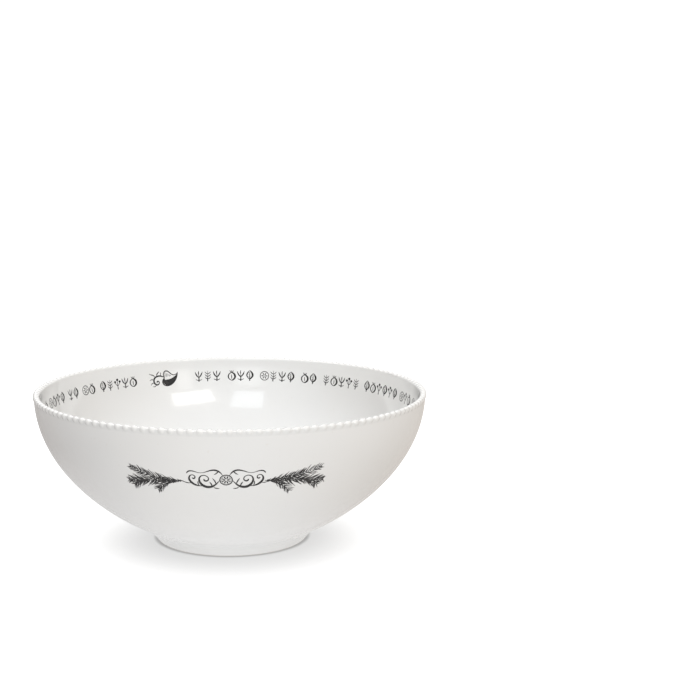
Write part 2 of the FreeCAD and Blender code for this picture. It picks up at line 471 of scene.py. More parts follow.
# %% Where the sweep meets the wall
FLOOR_THICKNESS = 5.5 * MM
FLOOR_SWEEP = 60.0 * MM
FLOOR = UNDERSIDE + FLOOR_THICKNESS
HALVINGS = 40
FLAT_STEPS, SWEEP_STEPS, LIP_STEPS = 4, 18, 8  # how many stretches each part of the outline has
INNER_STEPS, OUTER_STEPS = 40, 60


def sweep_touch():
    """The angle on the inner face's ellipse at which the floor's sweep runs into it."""
    low, high = math.radians(20), math.radians(80)
    for _ in range(HALVINGS):
        middle = (low + high) / 2
        radius, height, normal = inner_face.at_angle(middle)
        if height + FLOOR_SWEEP * normal[1] > FLOOR + FLOOR_SWEEP:
            low = middle
        else:
            high = middle
    return low


touch = sweep_touch()
touch_radius, touch_height, touch_normal = inner_face.at_angle(touch)
sweep_middle = touch_radius + FLOOR_SWEEP * touch_normal[0]
print(f"the floor is flat out to {sweep_middle / MM:.1f} mm")
print(f"the wall starts {touch_height / MM:.1f} mm up")


# %% Throw the body
def body_outline():
    """From the floor's middle, up the inside, over the lip, down the outside, and back under the floor."""
    outline = [(radius, FLOOR) for radius in spread(0, sweep_middle, FLAT_STEPS)]
    swing = math.atan2(-touch_normal[0], touch_normal[1])
    for angle in spread(0, swing, SWEEP_STEPS)[1:]:
        across, up = math.sin(angle), math.cos(angle)
        outline.append((sweep_middle + FLOOR_SWEEP * across, FLOOR + FLOOR_SWEEP * (1 - up)))
    way_up = spread(touch, inner_face.angle(LIP - LIP_ROUND_IN), INNER_STEPS)
    outline += [inner_face.at_angle(angle)[:2] for angle in way_up[1:]]
    over_lip = ((inner_face, spread(0, 90, LIP_STEPS)[1:]), (outer_face, spread(90, 0, LIP_STEPS)))
    for face, turns in over_lip:
        for turn in turns:
            rise = face.lip_round * math.sin(math.radians(turn))
            outline.append(face.at_height(LIP - face.lip_round + rise)[:2])
    way_down = spread(outer_face.angle(LIP - LIP_ROUND_OUT), outer_face.angle(UNDERSIDE), OUTER_STEPS)
    outline += [outer_face.at_angle(angle)[:2] for angle in way_down[1:]]
    edge = outline[-1][0]
    outline += [(radius, UNDERSIDE) for radius in spread(edge, 0, FLAT_STEPS)[1:]]
    return outline


glazed(throw("bowl_body_glazed", body_outline()), "bowl_body")

# %% [markdown]
# ## The foot
# The foot is a ring with leaning sides, luted to the underside. Where two pieces of clay meet, the potter
# smooths the joint with a wet finger and the glaze fills what is left, so the foot doesn't end in a hard
# corner: its sides flow into the body on a small hollow curve. That curve starts on the foot's side and
# ends on the wall, and leaves both along their own direction, which is what a curve with one control point
# does.

# %% Throw the foot
FOOT_LEAN_OUT = 8.4 * MM
FOOT_LEAN_IN = 1.4 * MM
FOOT_WIDTH = 8.0 * MM
FOOT_ROUND = 1.4 * MM
BLEND_OUT = 3.6 * MM  # how far the hollow curves reach, up the wall and in along the underside
BLEND_IN = 3.0 * MM
BURIED_IN = 3.0 * MM  # how far the outline's way back lies inside the wall, above it and above the underside
BURIED_UP = 1.0 * MM
COVERED = 1.5 * MM
FOOT_EDGE_STEPS = 6
SUNK = 0.06 * MM  # how far a piece's feather edge lies under the surface that it runs into


def mixed(start, end, share):
    """The point at this share of the way from start to end."""
    return (start[0] + (end[0] - start[0]) * share, start[1] + (end[1] - start[1]) * share)


def hollow_curve(start, corner, end, steps=10):
    """A curve from start to end that heads for the corner first and comes away from it last."""
    curve = []
    for share in spread(0, 1, steps):
        curve.append(mixed(mixed(start, corner, share), mixed(corner, end, share), share))
    return curve


def foot_outline():
    """From the underside, down the foot's inner side, round its edge and up its outer side to the wall, and
    back through the clay of the body, where it isn't seen. Each share says how far along a side of the foot
    a curve starts or ends."""
    seat_out, seat_top = foot_high[0], foot_high[2]
    out = seat_out - FOOT_LEAN_OUT
    inner = out - FOOT_WIDTH
    inner_top = (inner - FOOT_LEAN_IN * UNDERSIDE / seat_top, UNDERSIDE)
    seat = (seat_out, seat_top)
    wall_radius, wall_height, normal = outer_face.at_height(seat_top + BLEND_OUT)
    wall = (wall_radius - normal[0] * SUNK, wall_height - normal[1] * SUNK)
    underside = (inner_top[0] - BLEND_IN, UNDERSIDE + SUNK)
    outline = hollow_curve(underside, inner_top, mixed(inner_top, (inner, 0), 0.5))
    inner_foot = (inner, 0)
    edge_start = mixed(inner_foot, inner_top, 0.3)
    outline += hollow_curve(edge_start, inner_foot, (inner + FOOT_ROUND, 0), FOOT_EDGE_STEPS)
    outer_foot = (out, 0)
    edge_end = mixed(outer_foot, seat, 0.2)
    outline += hollow_curve((out - FOOT_ROUND, 0), outer_foot, edge_end, FOOT_EDGE_STEPS)
    outline += hollow_curve(mixed(outer_foot, seat, 0.55), seat, wall)
    buried = (wall[0] - BURIED_IN, wall[1] + BURIED_UP)
    return outline + [buried, (underside[0], UNDERSIDE + COVERED), underside]


glazed(throw("foot_ring_glazed", foot_outline()), "foot_ring")

# %% [markdown]
# ## Laying a flat thing on the wall
# The prints are drawn flat, where they are easy to shape, and then laid on the wall. A Simple Deform
# modifier can bend a sheet round a cylinder, but this wall curves both ways. So the sheet is laid on by a
# rule: how far a point lies to the right becomes an angle round the axis, how far it lies up becomes a
# height on the wall's section, and how far it stands off the sheet stays its distance from the wall.


# %% Lay a sheet on the wall
def lay(piece, face, bearing, level):
    """Moves a flat piece's points onto a face of the wall. The sheet's middle goes to this bearing, in
    degrees from +X, and this height. Its right is the right of someone who looks at that face."""
    radius, _, normal = face.at_height(level)
    climb = abs(normal[0])
    for vertex in piece.data.vertices:
        right, up, off = vertex.co
        across, height, out = face.at_height(level + up * climb)
        angle = math.radians(bearing) + face.side * right / radius
        distance = across + out[0] * off
        vertex.co = (distance * math.cos(angle), distance * math.sin(angle), height + out[1] * off)
    piece.data.update()
    return piece


# %% [markdown]
# ## The row of pearls
# The pearls are part of the lip: the mould has a row of round hollows in its top corner, and the clay is
# pressed into them. So they stand out from the wall and over the lip, the rim's outline is scalloped, and
# the glaze has softened the crease round each one. Loose balls would leave hard seams. Here one pitch of
# the lip's corner is thrown as a small wedge of the bowl, and a ball inside it pushes its skin out. The
# wedge is copied round the bowl and the copies are welded, so the row is one closed ring with its back let
# into the wall.

# %% One pearl
PEARLS = 140
PEARL_RADIUS = 2.6 * MM
PEARL_HALF_LENGTH = 3.3 * MM  # along the lip: a pearl is a little longer than it is high
PEARL_OUT = 0.9 * MM  # how far it stands out from the wall
PEARL_UP = 1.15 * MM  # how far it stands over the lip
PEARL_SOFTNESS = 6  # the higher, the sharper the crease round a pearl
PEARL_STEPS = 14
SKIRT = 5.4 * MM  # how far the skin reaches down from the top of the lip
BACK = 3.4 * MM  # how deep the row is let into the wall
SKIRT_STEPS, CORNER_STEPS, TOP_STEPS, INNER_EDGE_STEPS = 9, 6, 4, 5
SKIN_END = 40  # the turn of the inner rounding, in degrees, at which the skin ends
PEARL_WELD = 0.005 * MM  # the facing points of two copies are nearer than this
PEARL_CREASE = 60  # degrees


def corner_skin():
    """The lip's outer corner, from the skirt over the top to the inner rounding, just under the glaze."""
    skin = [outer_face.at_height(height) for height in spread(LIP - SKIRT, LIP - LIP_ROUND_OUT, SKIRT_STEPS)]
    for turn in spread(0, 90, CORNER_STEPS)[1:]:
        skin.append(outer_face.at_height(LIP - LIP_ROUND_OUT * (1 - math.sin(math.radians(turn)))))
    out, top, _ = skin[-1]
    inner = LIP_RADIUS - WALL + LIP_ROUND_IN
    skin += [(radius, top, Vector((0, 1))) for radius in spread(out, inner, TOP_STEPS)[1:]]
    for turn in spread(90, SKIN_END, INNER_EDGE_STEPS)[1:]:
        skin.append(inner_face.at_height(LIP - LIP_ROUND_IN * (1 - math.sin(math.radians(turn)))))
    return [(radius - normal[0] * SUNK, height - normal[1] * SUNK) for radius, height, normal in skin]


def shape_pearl():
    """Throws one pitch of the corner, and pushes its skin out to the ball inside it. A soft maximum of the
    two decides: it keeps whichever lies further out, and rounds the crease between them."""
    skin = corner_skin()
    back = [(LIP_RADIUS - BACK, skin[-1][1] - MM), (LIP_RADIUS - BACK, LIP - SKIRT)]
    pitch = math.tau / PEARLS
    wedge = throw("pearl", skin + back + skin[:1], PEARL_STEPS, pitch)
    wedge.data.transform(Matrix.Rotation(pitch / 2, 4, "Z"))  # Spin turned it clockwise, so this centres it
    middle = Vector((LIP_RADIUS + PEARL_OUT - PEARL_RADIUS, LIP + PEARL_UP - PEARL_RADIUS))
    for vertex in wedge.data.vertices:
        x, y, z = vertex.co
        reach = Vector((math.hypot(x, y), z)) - middle
        share = 1 - (y / PEARL_HALF_LENGTH) ** 2
        on_back = x < LIP_RADIUS - BACK + 0.1 * MM and z < LIP - MM
        if share > 0 and not on_back:
            ball = PEARL_RADIUS * math.sqrt(share)
            pushed = (reach.length**PEARL_SOFTNESS + ball**PEARL_SOFTNESS) ** (1 / PEARL_SOFTNESS)
            new_radius, new_height = middle + reach * (pushed / reach.length)
            grow = new_radius / math.hypot(x, y)
            vertex.co = (x * grow, y * grow, new_height)
    print(f"one pearl lifts the lip to {max(vertex.co[2] for vertex in wedge.data.vertices) / MM:.2f} mm")
    return wedge


pearl = shape_pearl()


# %% The whole row
def row_of_pearls():
    """Copies the pearl round the lip and welds the copies. The walls left between them are deleted."""
    copies = []
    for number in range(PEARLS):
        pick(pearl)
        bpy.ops.object.duplicate()
        copy = bpy.context.object
        copy.data.transform(Matrix.Rotation(math.tau * (number + 0.5) / PEARLS, 4, "Z"))
        copies.append(copy)
    row = joined("pearl_strip_glazed", copies)
    bpy.ops.object.mode_set(mode="EDIT")
    bpy.ops.mesh.select_all(action="SELECT")
    bpy.ops.mesh.remove_doubles(threshold=PEARL_WELD)
    bpy.ops.mesh.select_all(action="DESELECT")
    bpy.ops.mesh.select_interior_faces()
    bpy.ops.mesh.delete(type="FACE")
    bpy.ops.mesh.select_all(action="SELECT")
    bpy.ops.mesh.normals_make_consistent(inside=False)
    bpy.ops.object.mode_set(mode="OBJECT")
    bpy.ops.object.shade_smooth_by_angle(angle=math.radians(PEARL_CREASE))
    return count(row)


glazed(row_of_pearls(), "pearl_strip")
bpy.data.objects.remove(pearl)

# %% [markdown]
# ## Drawing with a broad nib
# The ornament is penwork: strokes that swell and taper, as a broad steel nib makes them. A curve with a
# round bevel would make a wire of each one. So a stroke is a NURBS curve that carries a flat line, the nib,
# along itself, which gives a ribbon, and each of its points has a width, which makes the ribbon swell. A
# stroke has few points, because the curve does the rounding. Many strokes share one curve object, and so
# are converted to a mesh together. Where strokes cross, each lies a hair above the one before, so that no
# two faces coincide.

# %% Two nibs
INK_THICKNESS = 0.10 * MM
INK_LIFT = 0.03 * MM  # a facet of the wall bulges less than this from the true curve
STROKE_STEP = 0.0004 * MM  # how far each stroke lies above the one before


def make_nib(name, parts):
    """A straight line one unit wide, cut into parts so that a wide stroke can follow the wall."""
    line = bpy.data.curves.new(name, "CURVE")
    line.dimensions = "2D"
    spline = line.splines.new("POLY")
    spline.points.add(parts)
    for number, point in enumerate(spline.points):
        point.co = (0.5 - number / parts, 0, 0, 1)
    nib = bpy.data.objects.new(name, line)
    bpy.context.collection.objects.link(nib)
    return nib


fine_nib = make_nib("fine_nib", 1)
broad_nib = make_nib("broad_nib", 5)


# %% Strokes
def draw(name, strokes, nib=fine_nib, order=4, steps=4, closed=False, size=1.0, weight=1.0):
    """Ribbons through lists of points, each of them right, up and width in millimetres. weight is how hard
    the pen is pressed."""
    curve = bpy.data.curves.new(name, "CURVE")
    curve.dimensions = "3D"
    curve.twist_mode = "Z_UP"
    curve.bevel_mode = "OBJECT"
    curve.bevel_object = nib
    curve.resolution_u = steps
    for number, points in enumerate(strokes):
        spline = curve.splines.new("NURBS")
        spline.points.add(len(points) - 1)
        for point, (right, up, width) in zip(spline.points, points):
            point.co = (right * size * MM, up * size * MM, number * STROKE_STEP, 1)
            point.radius = width * size * weight * MM
        spline.order_u = min(order, len(points))
        spline.use_endpoint_u = not closed
        spline.use_cyclic_u = closed
    drawn = bpy.data.objects.new(name, curve)
    bpy.context.collection.objects.link(drawn)
    pick(drawn)
    bpy.ops.object.convert(target="MESH")
    return bpy.context.object


CIRCLE_POINTS = 12
CIRCLE_SWELL = 1.047  # a NURBS curve runs inside its points, so they lie this much further out


def mirrored(points):
    return [(-right, up, width) for right, up, width in points]


def with_mirrored(strokes):
    return strokes + [mirrored(points) for points in strokes]


def round_stroke(radius, width):
    """The points of a closed stroke round a circle."""
    far = CIRCLE_SWELL * radius
    angles = [math.tau * number / CIRCLE_POINTS for number in range(CIRCLE_POINTS)]
    return [(far * math.cos(angle), far * math.sin(angle), width) for angle in angles]


def spokes(number, stroke, turn=0.0):
    """Copies of a stroke round the middle. Its points are distance and width along the spoke."""
    copies = []
    for step in range(number):
        angle = turn + math.tau * step / number
        copies.append([(far * math.cos(angle), far * math.sin(angle), width) for far, width in stroke])
    return copies


def thicken(piece):
    """Gives a flat drawing the thickness of a fired print, away from the wall."""
    pick(piece)
    piece.data.transform(Matrix.Translation((0, 0, INK_LIFT)))
    thickness = piece.modifiers.new("thickness", "SOLIDIFY")
    thickness.thickness = INK_THICKNESS
    thickness.offset = 1
    bpy.ops.object.modifier_apply(modifier=thickness.name)
    return piece


def fire(piece, node):
    """Makes a laid drawing a finished print, which stands for its construction node."""
    piece.data.materials.clear()
    piece.data.materials.append(transfer_ink)
    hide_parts(node)
    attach(piece, "root")
    count(piece)


# %% [markdown]
# ## The fir sprigs
# Each sprig on the front is engraved: three twigs leave one stalk, and every twig is a plume of fine
# needles that thins to its tip. A picture of a plume on a flat sheet would blur when it is looked at
# closely, so the needles are drawn one by one, a few faces each. A twig is a gentle arc. Its needles leave
# it on both sides, lean towards the tip, bend a little, and vary in length and lean. They are short by the
# stalk, so that the sprig ends in a point there, and longest in the middle of the plume. Some are left out,
# which lets light in.

# %% A plume of needles
NEEDLE = 7.6  # millimetres, like every length in these drawings
NEEDLE_WIDTH = 0.82
NEEDLE_PITCH = 0.80
NEEDLE_LEAN = 37.0  # degrees from the twig
NEEDLE_BEND = 0.25  # how much of its lean a needle loses and gains along itself
LENGTH_LUCK = (0.70, 1.12)  # the least and the most of a needle's length
LEAN_LUCK = (-11, 13)  # the least and the most that is added to its lean, in degrees
MISSING_NEEDLES = 0.10
TWIG_WIDTHS = ((0, 0.5), (0.5, 0.7), (1, 0.3))  # shares of the way along a twig, and its width there

needle_luck = random.Random(12)


def along(start, bend, end, share):
    """A point on an arc that heads from start for bend and arrives at end, and its direction there."""
    first, last = mixed(start, bend, share), mixed(bend, end, share)
    right, up = mixed(first, last, share)
    return right, up, math.atan2(last[1] - first[1], last[0] - first[0])


def bent_needle(right, up, heading, lean, length):
    """One needle. It leaves its twig at the lean, and bends towards the twig's tip."""
    first = heading + lean * (1 + NEEDLE_BEND)
    last = heading + lean * (1 - NEEDLE_BEND)
    half = 0.5 * length
    middle = (right + half * math.cos(first), up + half * math.sin(first))
    tip = (middle[0] + half * math.cos(last), middle[1] + half * math.sin(last))
    return [(right, up, NEEDLE_WIDTH * 0.8), (*middle, NEEDLE_WIDTH), (*tip, NEEDLE_WIDTH * 0.2)]


def plume(start, bend, end, fullness=1.0):
    """The strokes of one twig: its stalk, and its needles on both sides."""
    length = math.dist(start, bend) * 0.5 + math.dist(start, end) * 0.5
    stations = round(length / NEEDLE_PITCH)
    strokes = []
    for station in range(stations):
        share = (station + needle_luck.random()) / stations
        right, up, heading = along(start, bend, end, share)
        swell = min(1, 0.30 + 2.2 * share) * min(1, 0.45 + 2.6 * (1 - share))
        for side in (-1, 1):
            reach = NEEDLE * fullness * swell * needle_luck.uniform(*LENGTH_LUCK)
            lean = math.radians(NEEDLE_LEAN + needle_luck.uniform(*LEAN_LUCK)) * side
            if needle_luck.random() > MISSING_NEEDLES:
                strokes.append(bent_needle(right, up, heading, lean, reach))
    return strokes + [[(*along(start, bend, end, share)[:2], width) for share, width in TWIG_WIDTHS]]


# %% Two sprigs
FRONT = -90.0  # degrees from +X
PRINT_LEVEL = LIP - 43.7 * MM
SPRIG_STALK = [(-1.2, 0.0, 0.3), (3.0, -0.2, 1.2), (9.0, -0.4, 0.8)]
LEFT_TWIGS = [  # each twig's start, the point that it bends towards, its end, and how full it is
    ((0.0, 0.0), (22.0, -0.5), (43.5, 10.5), 1.0),
    ((3.0, -0.6), (27.0, -1.5), (48.0, -3.8), 1.15),
    ((30.0, -2.2), (38.0, -3.0), (44.0, -8.6), 0.9),
    ((6.0, -1.2), (15.0, -1.5), (23.0, -11.5), 0.95),
]
RIGHT_TWIGS = [
    ((0.0, 0.0), (22.0, 0.5), (46.0, 9.8), 1.0),
    ((3.0, -0.6), (28.0, -1.0), (51.0, -4.4), 1.15),
    ((30.0, -1.8), (38.0, -3.4), (46.0, -9.2), 0.95),
    ((5.0, -1.0), (13.0, -2.0), (21.5, -12.8), 0.95),
]


def sprig(name, node, twigs, flip, bearing):
    """Both sprigs are drawn with their stalk on the left, and the left one is flipped over."""
    strokes = [stroke for twig in twigs for stroke in plume(*twig)] + [SPRIG_STALK]
    if flip:
        strokes = [mirrored(points) for points in strokes]
    print(f"{name}: {len(strokes)} strokes")
    piece = thicken(draw(name, strokes, order=3, steps=2))
    fire(lay(piece, outer_face, bearing, PRINT_LEVEL), node)


sprig("left_sprig_print", "left_sprig_transfer", LEFT_TWIGS, True, FRONT - 12.0)
sprig("right_sprig_print", "right_sprig_transfer", RIGHT_TWIGS, False, FRONT + 11.4)

# %% [markdown]
# ## The centre ornament
# Between the sprigs is a mirrored scroll round a slice of citrus fruit, which is what goes into punch. Only
# its right half is drawn: the strokes are mirrored, so both halves match as an engraver's would. The
# scrolls are heaviest where the pen comes down, and end in a hair line.

# %% Scroll strokes
SCROLL_WEIGHT = 1.38
SLICE_RADIUS = 5.0
SLICE_WEDGE = [(0.8, 0.3), (2.4, 1.5), (3.6, 0.9)]
SCROLL_PLACE = (FRONT + 0.3, PRINT_LEVEL + 1.3 * MM)
SCROLL_STROKES = [
    [
        (5.4, -0.6, 0.3), (8.6, -5.4, 1.0), (13.6, -8.2, 1.9), (19.4, -6.4, 1.8), (22.6, -0.6, 1.1),
        (20.6, 4.6, 0.7), (16.0, 5.0, 0.5), (13.4, 1.6, 0.6), (15.2, -1.6, 0.9), (17.8, -1.0, 1.3),
        (17.9, 0.9, 0.6),
    ],
    [
        (18.6, -6.2, 0.2), (23.4, -6.6, 1.0), (28.4, -3.6, 1.7), (30.6, 1.4, 1.1), (28.4, 5.4, 0.6),
        (24.9, 4.6, 0.5), (24.6, 1.6, 0.7), (26.6, 0.8, 1.2), (27.2, 2.2, 0.5),
    ],
    [
        (2.6, 4.6, 0.2), (5.4, 9.8, 1.3), (11.2, 10.6, 1.0), (16.6, 7.6, 0.4), (21.6, 6.6, 0.3),
        (26.4, 9.4, 0.7), (30.6, 8.8, 1.0), (31.4, 6.4, 0.5),
    ],
    [(28.6, -3.2, 0.2), (31.6, -4.2, 0.9), (34.4, -2.0, 0.6), (36.4, -1.6, 0.2)],
    [(8.2, -4.6, 0.2), (8.4, -1.6, 1.3), (11.0, 1.8, 0.2)],
    [(11.6, -7.0, 0.2), (11.6, -4.2, 1.4), (13.6, -1.9, 0.2)],
    [(5.6, 9.6, 0.2), (6.8, 6.8, 1.2), (9.6, 5.4, 0.2)],
    [(22.0, -6.3, 0.2), (23.4, -3.8, 1.1), (22.8, -1.2, 0.2)],
    [(10.4, -7.4, 0.2), (8.4, -9.2, 1.2), (5.6, -8.6, 0.2)],
]


# %% Draw the centre ornament
def centre_ornament():
    scroll = draw("centre_scroll_print", with_mirrored(SCROLL_STROKES), steps=6, weight=SCROLL_WEIGHT)
    peel = [round_stroke(SLICE_RADIUS, 0.9), round_stroke(SLICE_RADIUS - 1.0, 0.25)]
    rind = draw("rind", peel, closed=True)
    wedges = draw("wedges", spokes(8, SLICE_WEDGE, math.pi / 8), order=3)
    piece = thicken(joined("centre_scroll_print", [scroll, rind, wedges]))
    fire(lay(piece, outer_face, *SCROLL_PLACE), "centre_scroll_transfer")


centre_ornament()

# %% [markdown]
# ## The leaf ornament
# Inside the lip, one larger ornament starts and ends the band: a heart-shaped leaf on a curling stalk, half
# of it in shadow. The shadow is one very broad stroke, so it is drawn with the nib that is cut into parts,
# and follows the wall instead of bridging it. The light half is hatched with fine lines.

# %% Leaf strokes
LEAF_SHADOW = [
    (1.0, 0.4, 0.3), (-0.2, -3.0, 4.6), (3.6, -5.2, 7.0), (8.6, -4.6, 7.0), (12.6, -1.6, 4.6),
    (15.6, 2.0, 1.6), (17.2, 5.6, 0.2),
]
LEAF_LINES = [
    [
        (1.2, 1.2, 0.5), (-0.4, 4.4, 0.7), (1.0, 8.6, 0.8), (5.2, 8.8, 0.8), (8.4, 5.6, 0.7),
        (11.6, 3.0, 0.6), (15.2, 3.2, 0.5), (17.6, 6.8, 0.15),
    ],
    [
        (1.2, 0.8, 0.4), (-1.6, -1.6, 0.7), (-2.0, -6.4, 0.8), (3.2, -9.2, 0.8), (9.6, -7.8, 0.8),
        (14.6, -3.2, 0.7), (17.0, 1.6, 0.5), (17.6, 6.8, 0.15),
    ],
    [
        (1.6, 1.0, 0.6), (-2.6, 3.4, 0.9), (-7.6, 3.6, 1.2), (-11.8, 1.0, 1.2), (-12.6, -4.0, 1.2),
        (-8.8, -7.6, 1.0), (-5.0, -5.4, 0.7), (-6.0, -2.2, 0.7), (-8.4, -2.8, 1.2), (-8.4, -4.2, 0.6),
    ],
    [(-10.4, 2.2, 0.3), (-12.6, 6.2, 1.0), (-15.8, 4.6, 0.6), (-17.4, 6.8, 0.2)],
    [(-8.2, 3.6, 0.3), (-8.0, 6.6, 1.2), (-4.6, 8.4, 0.2)],
    [(-12.2, -1.2, 0.3), (-14.8, 1.0, 1.0), (-17.2, -1.6, 0.2)],
    [(-12.2, -4.4, 0.3), (-15.0, -4.0, 0.9), (-16.2, -7.0, 0.2)],
    [(-3.6, 3.4, 0.3), (-2.8, 5.6, 0.8), (-3.4, 7.4, 0.2)],
    [(-9.6, -7.2, 0.3), (-11.6, -9.2, 0.8), (-14.0, -8.2, 0.2)],
]
LEAF_HATCHES = 5
LEAF_SIZE = 0.88
LEAF_WEIGHT = 1.6
LEAF_PLACE = 205.9  # degrees from the front, through the right


def hatch(number):
    """One line of the hatching. Each stands further to the right than the last, and is shorter."""
    right = 2.0 + 1.7 * number
    foot = (right, 1.6 + 0.1 * number, 0.25)
    middle = (right + 0.6, 4.2 - 0.3 * number, 0.5)
    top = (right - 0.2, 7.4 - number, 0.2)
    return [foot, middle, top]


# %% Draw the leaf ornament
band_low, band_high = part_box("band_transfer_1")
BAND_LEVEL = (band_low[2] + band_high[2]) / 2


def leaf_ornament():
    hatches = [hatch(number) for number in range(LEAF_HATCHES)]
    lines = draw("leaf_ornament_print", LEAF_LINES + hatches, steps=6, size=LEAF_SIZE, weight=LEAF_WEIGHT)
    shadow = draw("leaf_shadow", [LEAF_SHADOW], nib=broad_nib, steps=6, size=LEAF_SIZE)
    piece = thicken(joined("leaf_ornament_print", [lines, shadow]))
    fire(lay(piece, inner_face, FRONT + LEAF_PLACE, BAND_LEVEL), "leaf_ornament_transfer")


leaf_ornament()

# %% [markdown]
# ## The band
# The rest of the band is a row of small motifs of the same height, each a fruit or a leaf of the punch
# maker's garden. They stand in groups with a space between them, like the phrases of a song, which keeps a
# long row from looking like a border. Each motif is drawn once. Its copies are turned and laid on the wall
# one by one, and then joined into the four strips that the printer supplies the band in.

# %% Motif strokes
LEAF_RIB = [(0, -5.4, 0.9), (0, 0, 0.6), (0, 4.4, 0.2)]
LEAF_EDGE = [(0, -3.8, 0.4), (-3.4, -1.2, 0.9), (-2.6, 3.0, 0.9), (0, 5.4, 0.2)]
LEAF_VEINS = [[(0, up, 0.3), (-0.8, up + 0.6, 0.3), (-1.6, up + 1.2, 0.2)] for up in (-1.6, 0.4, 2.2)]
WHEEL_RADIUS = 4.4
WHEEL_WEDGE = [(0.6, 0.2), (2.2, 1.1), (3.3, 0.4)]
TRIDENT = [
    [(0, -5.4, 1.0), (0.1, -1, 0.7), (0, 1.6, 0.3)],
    [(0, 1.0, 0.2), (-0.4, 3.2, 1.2), (0, 5.4, 0.2)],
]
TRIDENT_SIDES = [
    [(0, -1.4, 0.3), (-2.6, 0.4, 1.6), (-3.7, 4.6, 0.2)],
    [(0, -4, 0.3), (-2, -4.4, 0.8), (-3.2, -3, 0.2)],
]
BERRY_STALK = [(0, -5.4, 0.8), (0, -2, 0.5), (0, 2.6, 0.4)]
BERRY_FORK = [(0, -2.2, 0.4), (-1.8, -0.6, 0.4), (-2.7, 1.2, 0.4)]
BERRY_SIDES = 14
BERRIES = [(-2.8, 2.1, 1.15), (2.8, 2.1, 1.15), (0, 4.1, 1.25)]
HIP_EDGE = [(0, -5.0, 0.4), (-3.6, -3.4, 0.8), (-3.4, 1.6, 0.9), (-0.8, 2.8, 0.5)]
HIP_CROWN = [[(0.4 * side, 2.6, 0.5), (1.2 * side, 4.0, 0.7), (2.0 * side, 5.4, 0.2)] for side in (-1, 0, 1)]
HIP_HEART = [(0, -3.4, 0.3), (0, -0.8, 0.9), (0, 1.2, 0.2)]
TWIG_STALK = [(-0.4, -5.4, 0.8), (0.2, 0, 0.5), (0, 5.4, 0.2)]
TWIG_LEAVES = [[(0, up, 0.2), (-1.8, up + 0.6, 1.0), (-3.0, up + 2.4, 0.2)] for up in (-3.2, -0.6, 2.0)]

# %% Draw the six motifs
MOTIF_WEIGHT = 1.4
LEAF_SHADE = 1.6  # how much heavier a motif's shaded side is than its light one
HIP_SHADE = 1.7


def sketch(name, strokes):
    return draw(name, strokes, order=3, weight=MOTIF_WEIGHT)


def berry(right, up, radius):
    """A flat round dot."""
    start_clean()
    bpy.ops.mesh.primitive_circle_add(vertices=BERRY_SIDES, radius=radius * MM, fill_type="NGON")
    disc = bpy.context.object
    disc.data.transform(Matrix.Translation((right * MM, up * MM, 0)))
    return disc


def draw_motifs():
    """Each motif is one mesh, joined from its strokes."""
    leaf_shade = [(-right, up, width * LEAF_SHADE) for right, up, width in LEAF_EDGE]
    hip_shade = [(-right, up, width * HIP_SHADE) for right, up, width in HIP_EDGE]
    leaf = [sketch("leaf", [LEAF_RIB, LEAF_EDGE, leaf_shade] + LEAF_VEINS)]
    rim = draw("rim", [round_stroke(WHEEL_RADIUS, 0.75)], closed=True)
    wheel = [rim, sketch("wheel", spokes(6, WHEEL_WEDGE))]
    trident = [sketch("trident", TRIDENT + with_mirrored(TRIDENT_SIDES))]
    berries = [sketch("stalks", [BERRY_STALK] + with_mirrored([BERRY_FORK]))]
    berries += [berry(*place) for place in BERRIES]
    hip = [sketch("hip", [HIP_EDGE, hip_shade, HIP_HEART] + HIP_CROWN)]
    twig = [sketch("twig", [TWIG_STALK] + with_mirrored(TWIG_LEAVES))]
    names = ("leaf_motif", "wheel_motif", "trident_motif", "berry_motif", "hip_motif", "twig_motif")
    parts = (leaf, wheel, trident, berries, hip, twig)
    return [count(thicken(joined(name, strokes))) for name, strokes in zip(names, parts)]


motifs = draw_motifs()

# %% Where the motifs go
GROUPS = (5, 2, 2, 4, 5, 4, 6, 3, 5, 4, 7, 2, 6, 4, 5, 4, 3, 6, 5, 2, 4, 3, 3)  # motifs in each group
BAND_START, BAND_END = 215.8, 554.9  # degrees from the front, on both sides of the leaf ornament
SPACE = 2.0  # degrees between two groups
motif_pitch = (BAND_END - BAND_START - SPACE * (len(GROUPS) - 1)) / sum(GROUPS)
motif_luck = random.Random(5)


def motif_places():
    """The middle of every motif, in degrees from the front."""
    places, edge = [], BAND_START
    for group in GROUPS:
        places += [edge + (number + 0.5) * motif_pitch for number in range(group)]
        edge += group * motif_pitch + SPACE
    return places


def next_motif(last):
    """Any motif but the last one, so that no two alike stand side by side."""
    return motif_luck.choice([motif for motif in motifs if motif is not last])


print(f"{sum(GROUPS)} motifs, {motif_pitch:.2f} degrees apart")

# %% Lay the band
STRIPS = (1, 2, 3, 4)


def middle_from_above(node):
    """The middle of a construction node's box, as right and back."""
    low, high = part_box(node)
    return (low[0] + high[0]) / 2, (low[1] + high[1]) / 2


def strip_of(place):
    """Which of the four strips a bearing belongs to: the one whose box is the nearest."""
    angle = math.radians(FRONT + place)
    radius = inner_face.at_height(BAND_LEVEL)[0]
    spot = (radius * math.cos(angle), radius * math.sin(angle))
    return min(STRIPS, key=lambda number: math.dist(spot, strip_middles[number]))


def lay_band():
    """Copies a motif to every place, lays each copy on the wall, and joins them strip by strip."""
    strips = {number: [] for number in STRIPS}
    last = None
    for place in motif_places():
        last = next_motif(last)
        pick(last)
        bpy.ops.object.duplicate()
        copy = lay(bpy.context.object, inner_face, FRONT + place, BAND_LEVEL)
        strips[strip_of(place)].append(copy)
    for number, copies in strips.items():
        fire(joined(f"band_print_{number}", copies), f"band_transfer_{number}")


strip_middles = {number: middle_from_above(f"band_transfer_{number}") for number in STRIPS}
lay_band()
for spare in [*motifs, fine_nib, broad_nib]:
    bpy.data.objects.remove(spare)

